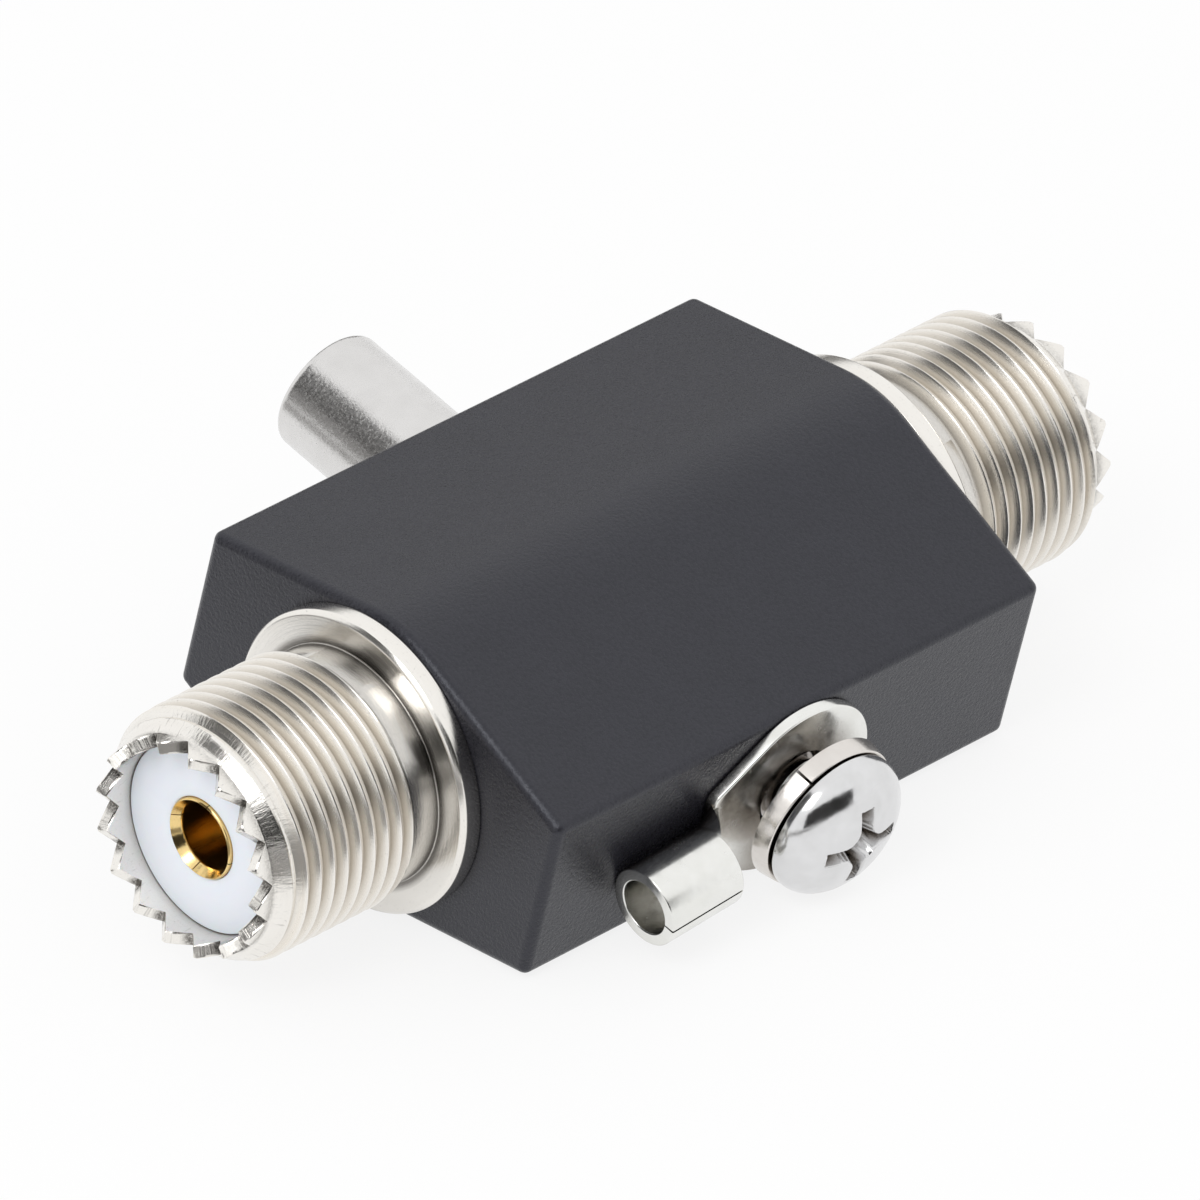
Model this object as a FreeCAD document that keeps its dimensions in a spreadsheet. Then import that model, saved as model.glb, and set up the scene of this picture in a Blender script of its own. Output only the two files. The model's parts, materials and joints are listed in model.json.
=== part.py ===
"""Coax lightning arrestor: a cast block with a threaded coax port at each end.

The coax axis runs along X. A gas discharge tube sits in a screwed cap on the +Y
side and an earthing screw with its lug is on the -Y side. Lying loose, the block
rolls on its rounded bottom ridge until the lug's rim or the screw's head meets
the table. The origin is on the table, under the middle of the assembly's box.
Every piece is drawn in the block's own frame, whose origin is the middle of the
coax axis, and one placement lays the whole assembly down.
"""
import FreeCAD, Part
import math
import os
import Sketcher

from FreeCAD import Placement, Rotation, Vector

doc = FreeCAD.newDocument("CoaxArrestor")

# Driving sizes in millimetres and degrees

SIZES = {
    # cast block
    "housing_length": 39.1,
    "housing_width": 29.6,
    "panel_tilt": 16.7,
    "ridge_radius": 9.75,
    "housing_edge": 0.6,
    "cavity_radius": 4.6,
    # coax ports, measured outward from the end face of the block
    "flange_radius": 9.4,
    "flange_thickness": 1.4,
    "flange_edge": 0.25,
    "neck_radius": 7.38,
    "neck_length": 2.0,
    "port_thread_radius": 7.9375,
    "port_thread_length": 9.1,
    "port_thread_pitch": 1.0583,
    "port_thread_depth": 0.52,
    "port_thread_crest": 0.13,
    "port_thread_root": 0.3,
    "port_thread_land": 1.1,
    "nose_taper_length": 1.4,
    "crown_radius": 6.75,
    "crown_bore_radius": 5.95,
    "crown_tooth_height": 1.15,
    "crown_tooth_count": 16,
    "crown_notch_angle": 92,
    "crown_turn_near": 6.3,
    "crown_turn_far": 2.8,
    "spigot_radius": 7.4,
    "spigot_length": 5.0,
    # insulator and centre contact
    "insulator_recess": 2.0,
    "insulator_collar_radius": 6.5,
    "insulator_collar_end": 1.0,
    "contact_radius": 2.52,
    "contact_bore_radius": 2.0,
    "contact_bore_depth": 9.0,
    "contact_stand": 0.2,
    "contact_mouth": 0.3,
    "contact_slit_width": 0.3,
    "contact_slit_depth": 6.5,
    "contact_tail_radius": 1.2,
    "contact_tail_length": 3.0,
    # centre conductor
    "conductor_radius": 2.0,
    "conductor_flat": 0.4,
    "conductor_flat_margin": 0.4,
    # gas discharge tube and its spring
    "tube_radius": 2.75,
    "tube_length": 6.0,
    "tube_clearance": 0.25,
    "electrode_thickness": 0.9,
    "electrode_edge": 0.18,
    "ceramic_radius": 2.6,
    "ceramic_bore_radius": 1.6,
    "spring_radius": 2.3,
    "spring_wire_radius": 0.27,
    "spring_turns": 8,
    # gas tube cap
    "cap_radius": 3.92,
    "cap_reach": 24.7,
    "cap_bore_radius": 3.1,
    "cap_roof": 2.2,
    "cap_engagement": 6.0,
    "cap_edge": 0.45,
    "cap_drive_across": 3.0,
    "cap_drive_depth": 1.2,
    "cap_bore_runout": 0.5,
    # earthing screw, lock washer and lug
    "earth_gap": 1.62,
    "screw_shank_radius": 2.45,
    "screw_length": 10.0,
    "screw_point": 0.5,
    "screw_head_radius": 4.65,
    "screw_head_side": 1.5,
    "screw_head_height": 2.6,
    "screw_head_top_radius": 3.3,
    "screw_head_shoulder": 0.35,
    "screw_head_crown": 0.2,
    "screw_hole_spare": 0.4,
    "recess_reach": 2.6,
    "recess_wing": 0.55,
    "recess_depth": 1.9,
    "recess_floor_reach": 1.05,
    "recess_floor_wing": 0.4,
    "washer_radius": 4.6,
    "washer_bore_radius": 2.6,
    "washer_thickness": 1.2,
    "washer_spread": 0.25,
    "washer_sweep": 0.965,
    "lug_ring_radius": 5.85,
    "lug_hole_radius": 2.65,
    "lug_thickness": 0.8,
    "lug_neck_width": 4.4,
    "lug_neck_overlap": 0.35,
    "lug_curl_angle": 78,
    "lug_barrel_start": 7.8,
    "lug_barrel_end": 13.4,
    "lug_barrel_radius": 2.45,
    "lug_barrel_bore_radius": 1.7,
    "lug_seam_width": 0.1,
    "lug_turn": 5.8,
    # fits
    "seat_clearance": 0.02,
    "thread_clearance": 0.05,
}

sheet = doc.addObject("Spreadsheet::Sheet", "Sizes")
for row, (alias, number) in enumerate(SIZES.items(), start=1):
    sheet.set(f"A{row}", alias)
    sheet.set(f"B{row}", str(number))
    sheet.setAlias(f"B{row}", alias)
doc.recompute()


def value(formula):
    """The number that a formula of the sheet's sizes gives."""
    result = sheet.evalExpression(formula)
    return float(getattr(result, "Value", result))


# How far a cutting profile runs past the face that it opens

OVERSHOOT = "1"

# Lengths that several pieces share, as formulas of the driving sizes

FACE = "(Sizes.housing_length / 2)"
WALL = "(Sizes.housing_width / 2)"
TILT_SIN = "sin(Sizes.panel_tilt * 1 deg)"
TILT_COS = "cos(Sizes.panel_tilt * 1 deg)"
SIDE_HALF = f"((Sizes.ridge_radius - {WALL} * {TILT_SIN}) / {TILT_COS})"

FLANGE_FRONT = f"({FACE} + Sizes.flange_thickness)"
THREAD_START = f"({FLANGE_FRONT} + Sizes.neck_length)"
THREAD_END = f"({THREAD_START} + Sizes.port_thread_length)"
CROWN_BASE = f"({THREAD_END} + Sizes.nose_taper_length)"
CROWN_TIP = f"({CROWN_BASE} + Sizes.crown_tooth_height)"
SPIGOT_END = f"({FACE} - Sizes.spigot_length)"
SPIGOT_SEAT = f"({SPIGOT_END} - Sizes.seat_clearance)"
INSULATOR_FACE = f"({CROWN_TIP} - Sizes.insulator_recess)"
COLLAR_END = f"({FACE} + Sizes.insulator_collar_end)"
CONTACT_TIP = f"({INSULATOR_FACE} + Sizes.contact_stand)"
CONTACT_BACK = f"({SPIGOT_END} + 2 * Sizes.seat_clearance)"
CONDUCTOR_END = f"({CONTACT_BACK} - Sizes.seat_clearance)"

TUBE_FOOT = "(Sizes.conductor_radius - Sizes.conductor_flat + Sizes.seat_clearance)"
TUBE_TOP = f"({TUBE_FOOT} + Sizes.tube_length)"
CAP_FOOT = f"({WALL} - Sizes.cap_engagement)"
CAP_ROOF = "(Sizes.cap_reach - Sizes.cap_roof)"

LUG_BACK = f"({WALL} + Sizes.seat_clearance)"
LUG_FRONT = f"({LUG_BACK} + Sizes.lug_thickness)"
WASHER_BACK = f"({LUG_FRONT} + Sizes.earth_gap)"
HEAD_BASE = f"({WASHER_BACK} + Sizes.washer_thickness + Sizes.washer_spread + Sizes.seat_clearance)"
SCREW_TIP = f"({HEAD_BASE} - Sizes.screw_length)"
HEAD_TOP = f"({HEAD_BASE} + Sizes.screw_head_height)"
BARREL_AXIS = f"({LUG_BACK} + Sizes.lug_barrel_radius)"


# How the assembly lies and how each side is turned


def rolling_angle(out, radius):
    """Roll in degrees at which a rim on the earthing side meets the table."""
    reach = math.hypot(out, radius)
    return math.degrees(math.asin(value("Sizes.ridge_radius") / reach) - math.atan2(radius, out))


LYING_ROLL = min(
    rolling_angle(value(LUG_FRONT), value("Sizes.lug_ring_radius")),
    rolling_angle(value(f"{HEAD_BASE} + Sizes.screw_head_side"), value("Sizes.screw_head_radius")),
)
LYING = Placement(
    Vector(0, 0, value("Sizes.ridge_radius")),
    Rotation(Vector(1, 0, 0), LYING_ROLL),
)
HALF_TURN = Placement(Vector(), Rotation(Vector(0, 0, 1), 180))


def turned_about_x(degrees):
    return Placement(Vector(), Rotation(Vector(1, 0, 0), degrees))


def turned_about_y(degrees):
    return Placement(Vector(), Rotation(Vector(0, 1, 0), degrees))


# Sketch and feature helpers


def new_body(label, placement):
    body = doc.addObject("PartDesign::Body", label)
    body.Label = label
    body.Placement = placement
    return body


def origin_item(body, role):
    return next(item for item in body.Origin.OriginFeatures if item.Role == role)


def new_sketch(body, name, role, offset=None):
    """A sketch on one of the body's own planes, moved along its normal by a formula."""
    sketch = body.newObject("Sketcher::SketchObject", name)
    sketch.AttachmentSupport = [(origin_item(body, role), "")]
    sketch.MapMode = "FlatFace"
    if offset:
        sketch.setExpression("AttachmentOffset.Base.z", offset)
    return sketch


def pin_coordinate(sketch, kind, geometry, end, formula):
    """Hold one coordinate of a sketch point at a formula of the sheet."""
    if formula == "0":
        axis = -1 if kind == "DistanceY" else -2
        sketch.addConstraint(Sketcher.Constraint("PointOnObject", geometry, end, axis))
        return
    number = value(formula)
    index = sketch.addConstraint(Sketcher.Constraint(kind, -1, 1, geometry, end, number))
    sketch.setExpression(f"Constraints[{index}]", formula)


def draw_outline(sketch, corners):
    """A closed outline of straight lines through corners given as formulas."""
    points = [Vector(value(x), value(y), 0) for x, y in corners]
    first = sketch.GeometryCount
    count = len(points)
    for index, point in enumerate(points):
        sketch.addGeometry(Part.LineSegment(point, points[(index + 1) % count]))
    for index in range(count):
        following = first + (index + 1) % count
        sketch.addConstraint(Sketcher.Constraint("Coincident", first + index, 2, following, 1))
    for index, (x, y) in enumerate(corners):
        pin_coordinate(sketch, "DistanceX", first + index, 1, x)
        pin_coordinate(sketch, "DistanceY", first + index, 1, y)
    return sketch


def draw_circle(sketch, x, y, radius):
    """A circle with its centre and radius given as formulas."""
    centre = Vector(value(x), value(y), 0)
    index = sketch.addGeometry(Part.Circle(centre, Vector(0, 0, 1), value(radius)))
    pin_coordinate(sketch, "DistanceX", index, 3, x)
    pin_coordinate(sketch, "DistanceY", index, 3, y)
    held = sketch.addConstraint(Sketcher.Constraint("Radius", index, value(radius)))
    sketch.setExpression(f"Constraints[{held}]", radius)
    return sketch


def add_feature(body, kind, name, profile, **settings):
    feature = body.newObject(f"PartDesign::{kind}", name)
    feature.Profile = profile
    for key, setting in settings.items():
        setattr(feature, key, setting)
    return feature


def revolve(body, name, axis, corners, kind="Revolution"):
    """Turn a half section drawn in the XY plane about the X or Y axis of its sketch."""
    sketch = draw_outline(new_sketch(body, f"{name}_section", "XY_Plane"), corners)
    line = {"X": "H_Axis", "Y": "V_Axis"}[axis]
    feature = add_feature(body, kind, name, sketch, ReferenceAxis=(sketch, [line]), Angle=360)
    sketch.Visibility = False
    return feature


def extrude(body, name, sketch, length, kind="Pad", midplane=False, reverse=False):
    feature = add_feature(body, kind, name, sketch)
    feature.Midplane = midplane
    feature.Reversed = reverse
    feature.setExpression("Length", length)
    return feature


def dress_edges(body, kind, name, size, wanted):
    """Fillet or chamfer the edges of the body's last feature that pass a test."""
    doc.recompute()
    base = body.Tip
    names = [f"Edge{n}" for n, edge in enumerate(base.Shape.Edges, start=1) if wanted(edge)]
    feature = body.newObject(f"PartDesign::{kind}", name)
    feature.Base = (base, names)
    feature.setExpression("Radius" if kind == "Fillet" else "Size", size)
    return feature


# Cast block: a bar whose top and bottom rise from each side to a rounded ridge


def draw_block_section(sketch):
    """Section across the coax axis, with Y to the right and Z up."""
    rise_y = f"(Sizes.ridge_radius * {TILT_SIN})"
    rise_z = f"(Sizes.ridge_radius * {TILT_COS})"
    radius = value("Sizes.ridge_radius")
    tilt = math.radians(value("Sizes.panel_tilt"))
    upright = math.pi / 2
    corner = {
        "right_low": (WALL, f"-{SIDE_HALF}"),
        "right_high": (WALL, SIDE_HALF),
        "top_right": (rise_y, rise_z),
        "top_left": (f"-{rise_y}", rise_z),
        "left_high": (f"-{WALL}", SIDE_HALF),
        "left_low": (f"-{WALL}", f"-{SIDE_HALF}"),
        "bottom_left": (f"-{rise_y}", f"-{rise_z}"),
        "bottom_right": (rise_y, f"-{rise_z}"),
    }
    point = {key: Vector(value(y), value(z), 0) for key, (y, z) in corner.items()}
    ring = list(corner)
    arcs = {
        "top_right": (upright - tilt, upright + tilt),
        "bottom_left": (-upright - tilt, -upright + tilt),
    }
    for index, key in enumerate(ring):
        if key in arcs:
            circle = Part.Circle(Vector(), Vector(0, 0, 1), radius)
            sketch.addGeometry(Part.ArcOfCircle(circle, *arcs[key]))
        else:
            sketch.addGeometry(Part.LineSegment(point[key], point[ring[(index + 1) % len(ring)]]))
    for index in range(len(ring)):
        sketch.addConstraint(Sketcher.Constraint("Coincident", index, 2, (index + 1) % len(ring), 1))
    for index, key in enumerate(ring):
        if key in arcs:
            sketch.addConstraint(Sketcher.Constraint("Coincident", index, 3, -1, 1))
        y, z = corner[key]
        pin_coordinate(sketch, "DistanceX", index, 1, y)
        arc_end = ring[index - 1] in arcs
        if not arc_end:
            pin_coordinate(sketch, "DistanceY", index, 1, z)
    return sketch


def make_housing():
    body = new_body("housing", LYING)
    section = draw_block_section(new_sketch(body, "block_section", "YZ_Plane"))
    extrude(body, "block", section, "Sizes.housing_length", midplane=True)
    half_width = value(WALL)

    def is_outer_edge(edge):
        middle = edge.BoundBox.Center
        along_side = abs(abs(middle.y) - half_width) < 0.01
        at_end = edge.BoundBox.XLength < 0.01
        return along_side or at_end

    dress_edges(body, "Fillet", "rounded_edges", "Sizes.housing_edge", is_outer_edge)
    spigot_hole = "(Sizes.spigot_radius + Sizes.seat_clearance)"
    revolve(body, "coax_bore", "X", [
        (f"-{FACE} - {OVERSHOOT}", "0"),
        (f"-{FACE} - {OVERSHOOT}", spigot_hole),
        (f"-{SPIGOT_SEAT}", spigot_hole),
        (f"-{SPIGOT_SEAT}", "Sizes.cavity_radius"),
        (SPIGOT_SEAT, "Sizes.cavity_radius"),
        (SPIGOT_SEAT, spigot_hole),
        (f"{FACE} + {OVERSHOOT}", spigot_hole),
        (f"{FACE} + {OVERSHOOT}", "0"),
    ], "Groove")
    cap_hole = "(Sizes.cap_radius + Sizes.thread_clearance)"
    tube_hole = "(Sizes.tube_radius + Sizes.tube_clearance)"
    thread_floor = f"({CAP_FOOT} - Sizes.cap_bore_runout)"
    revolve(body, "cap_bore", "Y", [
        ("0", "0"),
        (tube_hole, "0"),
        (tube_hole, thread_floor),
        (cap_hole, thread_floor),
        (cap_hole, f"{WALL} + {OVERSHOOT}"),
        ("0", f"{WALL} + {OVERSHOOT}"),
    ], "Groove")
    screw_hole = "(Sizes.screw_shank_radius + Sizes.thread_clearance)"
    hole_floor = f"({SCREW_TIP} - Sizes.earth_gap - Sizes.screw_hole_spare)"
    revolve(body, "earth_bore", "Y", [
        ("0", f"-{WALL} - {OVERSHOOT}"),
        (screw_hole, f"-{WALL} - {OVERSHOOT}"),
        (screw_hole, f"-{hole_floor}"),
        ("0", f"-{hole_floor} + {screw_hole} / 2"),
    ], "Groove")
    return body


# Coax port: threaded shell, insulator and centre contact, each drawn pointing along +X


def make_port_shell(label, placement):
    """A flanged shell. Its thread's turns are plain rings, as many as fit outside the land at the neck."""
    body = new_body(label, placement)
    edge = "Sizes.flange_edge"
    chamfer = "(Sizes.port_thread_radius - Sizes.neck_radius)"
    revolve(body, "shell", "X", [
        (SPIGOT_END, "Sizes.insulator_collar_radius + Sizes.seat_clearance"),
        (SPIGOT_END, "Sizes.spigot_radius"),
        (FACE, "Sizes.spigot_radius"),
        (FACE, "Sizes.flange_radius"),
        (f"{FLANGE_FRONT} - {edge}", "Sizes.flange_radius"),
        (FLANGE_FRONT, f"Sizes.flange_radius - {edge}"),
        (FLANGE_FRONT, "Sizes.neck_radius"),
        (THREAD_START, "Sizes.neck_radius"),
        (f"{THREAD_START} + {chamfer}", "Sizes.port_thread_radius"),
        (THREAD_END, "Sizes.port_thread_radius"),
        (CROWN_BASE, "Sizes.crown_radius"),
        (CROWN_TIP, "Sizes.crown_radius"),
        (CROWN_TIP, "Sizes.crown_bore_radius"),
        (COLLAR_END, "Sizes.crown_bore_radius"),
        (COLLAR_END, "Sizes.insulator_collar_radius + Sizes.seat_clearance"),
    ])
    doc.recompute()
    land_end = f"({THREAD_START} + {chamfer} + Sizes.port_thread_land)"
    mouth_half = "((Sizes.port_thread_pitch - Sizes.port_thread_crest) / 2)"
    groove_centre = f"({land_end} + {mouth_half})"
    root_half = "(Sizes.port_thread_root / 2)"
    root = "(Sizes.port_thread_radius - Sizes.port_thread_depth)"
    turn = revolve(body, "thread_turn", "X", [
        (f"{groove_centre} - {root_half}", root),
        (f"{groove_centre} + {root_half}", root),
        (f"{groove_centre} + {mouth_half}", "Sizes.port_thread_radius"),
        (f"{groove_centre} + {mouth_half}", f"Sizes.port_thread_radius + {OVERSHOOT}"),
        (f"{groove_centre} - {mouth_half}", f"Sizes.port_thread_radius + {OVERSHOOT}"),
        (f"{groove_centre} - {mouth_half}", "Sizes.port_thread_radius"),
    ], "Groove")
    doc.recompute()
    turns = f"floor(({THREAD_END} - {land_end}) / Sizes.port_thread_pitch)"
    thread = body.newObject("PartDesign::LinearPattern", "thread")
    thread.Originals = [turn]
    thread.Direction = (origin_item(body, "X_Axis"), [""])
    thread.setExpression("Length", f"({turns} - 1) * Sizes.port_thread_pitch")
    thread.setExpression("Occurrences", turns)
    body.Tip = thread
    doc.recompute()
    notch_half = "(Sizes.crown_tooth_height * tan(Sizes.crown_notch_angle / 2 * 1 deg))"
    notch = draw_outline(new_sketch(body, "notch_shape", "XY_Plane"), [
        (CROWN_BASE, "0"),
        (CROWN_TIP, notch_half),
        (f"{CROWN_TIP} + {OVERSHOOT}", notch_half),
        (f"{CROWN_TIP} + {OVERSHOOT}", f"-{notch_half}"),
        (CROWN_TIP, f"-{notch_half}"),
    ])
    pocket = extrude(body, "notch", notch, f"Sizes.crown_radius + {OVERSHOOT}", "Pocket", reverse=True)
    doc.recompute()
    crown = body.newObject("PartDesign::PolarPattern", "crown")
    crown.Originals = [pocket]
    crown.Axis = (origin_item(body, "X_Axis"), [""])
    crown.Angle = 360
    crown.setExpression("Occurrences", "Sizes.crown_tooth_count")
    body.Tip = crown
    return body


def make_port_insulator(label, placement):
    body = new_body(label, placement)
    bore = "(Sizes.contact_radius + Sizes.seat_clearance)"
    revolve(body, "insulator", "X", [
        (SPIGOT_END, bore),
        (SPIGOT_END, "Sizes.insulator_collar_radius"),
        (f"{COLLAR_END} - Sizes.seat_clearance", "Sizes.insulator_collar_radius"),
        (f"{COLLAR_END} - Sizes.seat_clearance", "Sizes.crown_bore_radius - Sizes.seat_clearance"),
        (INSULATOR_FACE, "Sizes.crown_bore_radius - Sizes.seat_clearance"),
        (INSULATOR_FACE, bore),
    ])
    return body


def make_port_contact(label, placement):
    body = new_body(label, placement)
    bore_floor = f"({CONTACT_TIP} - Sizes.contact_bore_depth)"
    mouth = "Sizes.contact_mouth"
    lip = f"((Sizes.contact_radius - Sizes.contact_bore_radius - {mouth}) / 2)"
    revolve(body, "contact", "X", [
        (f"{CONTACT_BACK} - Sizes.contact_tail_length", "0"),
        (f"{CONTACT_BACK} - Sizes.contact_tail_length", "Sizes.contact_tail_radius"),
        (CONTACT_BACK, "Sizes.contact_tail_radius"),
        (CONTACT_BACK, "Sizes.contact_radius"),
        (f"{CONTACT_TIP} - {lip}", "Sizes.contact_radius"),
        (CONTACT_TIP, f"Sizes.contact_radius - {lip}"),
        (CONTACT_TIP, f"Sizes.contact_bore_radius + {mouth}"),
        (f"{CONTACT_TIP} - {mouth}", "Sizes.contact_bore_radius"),
        (bore_floor, "Sizes.contact_bore_radius"),
        (f"{bore_floor} - Sizes.contact_bore_radius / 2", "0"),
    ])
    doc.recompute()
    slit_half = "(Sizes.contact_slit_width / 2)"
    for name, role in (("upright_slit", "XY_Plane"), ("level_slit", "XZ_Plane")):
        slit = draw_outline(new_sketch(body, f"{name}_shape", role), [
            (f"{CONTACT_TIP} - Sizes.contact_slit_depth", f"-{slit_half}"),
            (f"{CONTACT_TIP} + {OVERSHOOT}", f"-{slit_half}"),
            (f"{CONTACT_TIP} + {OVERSHOOT}", slit_half),
            (f"{CONTACT_TIP} - Sizes.contact_slit_depth", slit_half),
        ])
        extrude(body, name, slit, f"2 * Sizes.contact_radius + {OVERSHOOT}", "Pocket", midplane=True)
    return body


def make_centre_conductor():
    """The rod that joins both contacts, with a flat for the gas tube."""
    body = new_body("centre_conductor", LYING)
    hole = "(Sizes.contact_tail_radius + Sizes.seat_clearance)"
    hole_floor = f"({CONTACT_BACK} - Sizes.contact_tail_length - 2 * Sizes.seat_clearance)"
    revolve(body, "rod", "X", [
        (f"-{hole_floor}", "0"),
        (f"-{hole_floor}", hole),
        (f"-{CONDUCTOR_END}", hole),
        (f"-{CONDUCTOR_END}", "Sizes.conductor_radius"),
        (CONDUCTOR_END, "Sizes.conductor_radius"),
        (CONDUCTOR_END, hole),
        (hole_floor, hole),
        (hole_floor, "0"),
    ])
    doc.recompute()
    flat_half = "(Sizes.tube_radius + Sizes.conductor_flat_margin)"
    flat_level = "(Sizes.conductor_radius - Sizes.conductor_flat)"
    flat = draw_outline(new_sketch(body, "flat_shape", "XY_Plane"), [
        (f"-{flat_half}", flat_level),
        (flat_half, flat_level),
        (flat_half, f"Sizes.conductor_radius + {OVERSHOOT}"),
        (f"-{flat_half}", f"Sizes.conductor_radius + {OVERSHOOT}"),
    ])
    extrude(body, "tube_flat", flat, f"2 * Sizes.conductor_radius + {OVERSHOOT}", "Pocket", midplane=True)
    return body


# Gas discharge tube side, drawn pointing along +Y


def make_electrode(label, foot, top):
    """A cupped end electrode with a lightly chamfered rim."""
    body = new_body(label, LYING)
    edge = "Sizes.electrode_edge"
    revolve(body, "electrode", "Y", [
        ("0", foot),
        (f"Sizes.tube_radius - {edge}", foot),
        ("Sizes.tube_radius", f"{foot} + {edge}"),
        ("Sizes.tube_radius", f"{top} - {edge}"),
        (f"Sizes.tube_radius - {edge}", top),
        ("0", top),
    ])
    return body


def make_gas_tube():
    inner_top = f"({TUBE_FOOT} + Sizes.electrode_thickness)"
    outer_foot = f"({TUBE_TOP} - Sizes.electrode_thickness)"
    make_electrode("gas_tube_inner_electrode", TUBE_FOOT, inner_top)
    make_electrode("gas_tube_outer_electrode", outer_foot, TUBE_TOP)
    body = new_body("gas_tube_ceramic", LYING)
    bore = "Sizes.ceramic_bore_radius"
    revolve(body, "ceramic", "Y", [
        (bore, inner_top),
        ("Sizes.ceramic_radius", inner_top),
        ("Sizes.ceramic_radius", outer_foot),
        (bore, outer_foot),
    ])


def make_contact_spring():
    """The coil spring that presses the gas tube onto the conductor."""
    body = new_body("contact_spring", LYING)
    wire = "Sizes.spring_wire_radius"
    foot = f"({TUBE_TOP} + {wire} + Sizes.seat_clearance)"
    section = new_sketch(body, "wire_section", "XY_Plane")
    draw_circle(section, "Sizes.spring_radius", foot, wire)
    height = f"{CAP_ROOF} - {foot} - {wire} - Sizes.seat_clearance"
    coil = add_feature(body, "AdditiveHelix", "coil", section)
    coil.ReferenceAxis = (section, ["V_Axis"])
    coil.Mode = 2
    coil.setExpression("Height", height)
    coil.setExpression("Turns", "Sizes.spring_turns")
    return body


def make_tube_cap():
    """A turned thimble, threaded in the block, with a blind drive socket in its end."""
    body = new_body("tube_cap", LYING)
    edge = "Sizes.cap_edge"
    revolve(body, "thimble", "Y", [
        ("Sizes.cap_bore_radius", CAP_FOOT),
        (f"Sizes.cap_radius - {edge} / 2", CAP_FOOT),
        ("Sizes.cap_radius", f"{CAP_FOOT} + {edge} / 2"),
        ("Sizes.cap_radius", "Sizes.cap_reach"),
        ("0", "Sizes.cap_reach"),
        ("0", CAP_ROOF),
        ("Sizes.cap_bore_radius", CAP_ROOF),
    ])
    reach = value("Sizes.cap_reach")
    dress_edges(body, "Fillet", "rounded_end", edge, lambda item: abs(item.BoundBox.YMin - reach) < 0.01)
    doc.recompute()
    corner = "(Sizes.cap_drive_across / 2 / cos(30 deg))"
    flat = "(Sizes.cap_drive_across / 2)"
    socket = draw_outline(new_sketch(body, "drive_shape", "XZ_Plane", "-Sizes.cap_reach"), [
        (corner, "0"),
        (f"{corner} / 2", flat),
        (f"-{corner} / 2", flat),
        (f"-{corner}", "0"),
        (f"-{corner} / 2", f"-{flat}"),
        (f"{corner} / 2", f"-{flat}"),
    ])
    extrude(body, "drive_socket", socket, "Sizes.cap_drive_depth", "Pocket", reverse=True)
    return body


# Earthing side, drawn pointing along +Y and then turned to face -Y


def cross_outline(reach, wing):
    """Twelve corners of a cross, as used for the driver recess."""
    return [
        (wing, wing), (wing, reach), (f"-{wing}", reach), (f"-{wing}", wing),
        (f"-{reach}", wing), (f"-{reach}", f"-{wing}"), (f"-{wing}", f"-{wing}"),
        (f"-{wing}", f"-{reach}"), (wing, f"-{reach}"), (wing, f"-{wing}"),
        (reach, f"-{wing}"), (reach, wing),
    ]


def make_earth_screw(placement):
    """A pan head screw whose crowned top carries a cross recess."""
    body = new_body("earth_screw", placement)
    shank = "Sizes.screw_shank_radius"
    shoulder = "Sizes.screw_head_shoulder"
    crown = "Sizes.screw_head_crown"
    revolve(body, "screw", "Y", [
        ("0", SCREW_TIP),
        (f"{shank} - Sizes.screw_point", SCREW_TIP),
        (shank, f"{SCREW_TIP} + Sizes.screw_point"),
        (shank, HEAD_BASE),
        ("Sizes.screw_head_radius", HEAD_BASE),
        ("Sizes.screw_head_radius", f"{HEAD_BASE} + Sizes.screw_head_side"),
        (f"Sizes.screw_head_radius - {shoulder}", f"{HEAD_BASE} + Sizes.screw_head_side + 1.5 * {shoulder}"),
        ("Sizes.screw_head_top_radius", f"{HEAD_TOP} - {crown}"),
        ("Sizes.screw_head_top_radius / 2", f"{HEAD_TOP} - {crown} / 4"),
        ("0", HEAD_TOP),
    ])
    doc.recompute()
    recess_floor = f"({HEAD_TOP} - Sizes.recess_depth)"
    mouth = draw_outline(
        new_sketch(body, "recess_mouth", "XZ_Plane", f"-{HEAD_TOP}"),
        cross_outline("Sizes.recess_reach", "Sizes.recess_wing"),
    )
    floor = draw_outline(
        new_sketch(body, "recess_floor", "XZ_Plane", f"-{recess_floor}"),
        cross_outline("Sizes.recess_floor_reach", "Sizes.recess_floor_wing"),
    )
    recess = add_feature(body, "SubtractiveLoft", "recess", mouth)
    recess.Sections = [floor]
    recess.Ruled = True
    return body


def make_lock_washer(placement):
    """A split washer: a square wire wound for just under one turn."""
    body = new_body("lock_washer", placement)
    section = draw_outline(new_sketch(body, "wire_section", "XY_Plane"), [
        ("Sizes.washer_bore_radius", WASHER_BACK),
        ("Sizes.washer_radius", WASHER_BACK),
        ("Sizes.washer_radius", f"{WASHER_BACK} + Sizes.washer_thickness"),
        ("Sizes.washer_bore_radius", f"{WASHER_BACK} + Sizes.washer_thickness"),
    ])
    coil = add_feature(body, "AdditiveHelix", "coil", section)
    coil.ReferenceAxis = (section, ["V_Axis"])
    coil.Mode = 2
    coil.LeftHanded = True
    coil.setExpression("Height", "Sizes.washer_spread")
    coil.setExpression("Turns", "Sizes.washer_sweep")
    return body


def curled_outline(radius, bore):
    """Half of the barrel's wall as ten corners, the outer row and then the inner row."""
    shares = (-1, -0.5, 0, 0.5, 1)
    rows = []
    for size, order in ((radius, shares), (bore, shares[::-1])):
        for share in order:
            angle = f"(Sizes.lug_curl_angle * {share} * 1 deg)"
            rows.append((
                f"{BARREL_AXIS} - {size} * cos{angle}",
                f"{size} * sin{angle}" if share else "0",
            ))
    return rows


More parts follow.
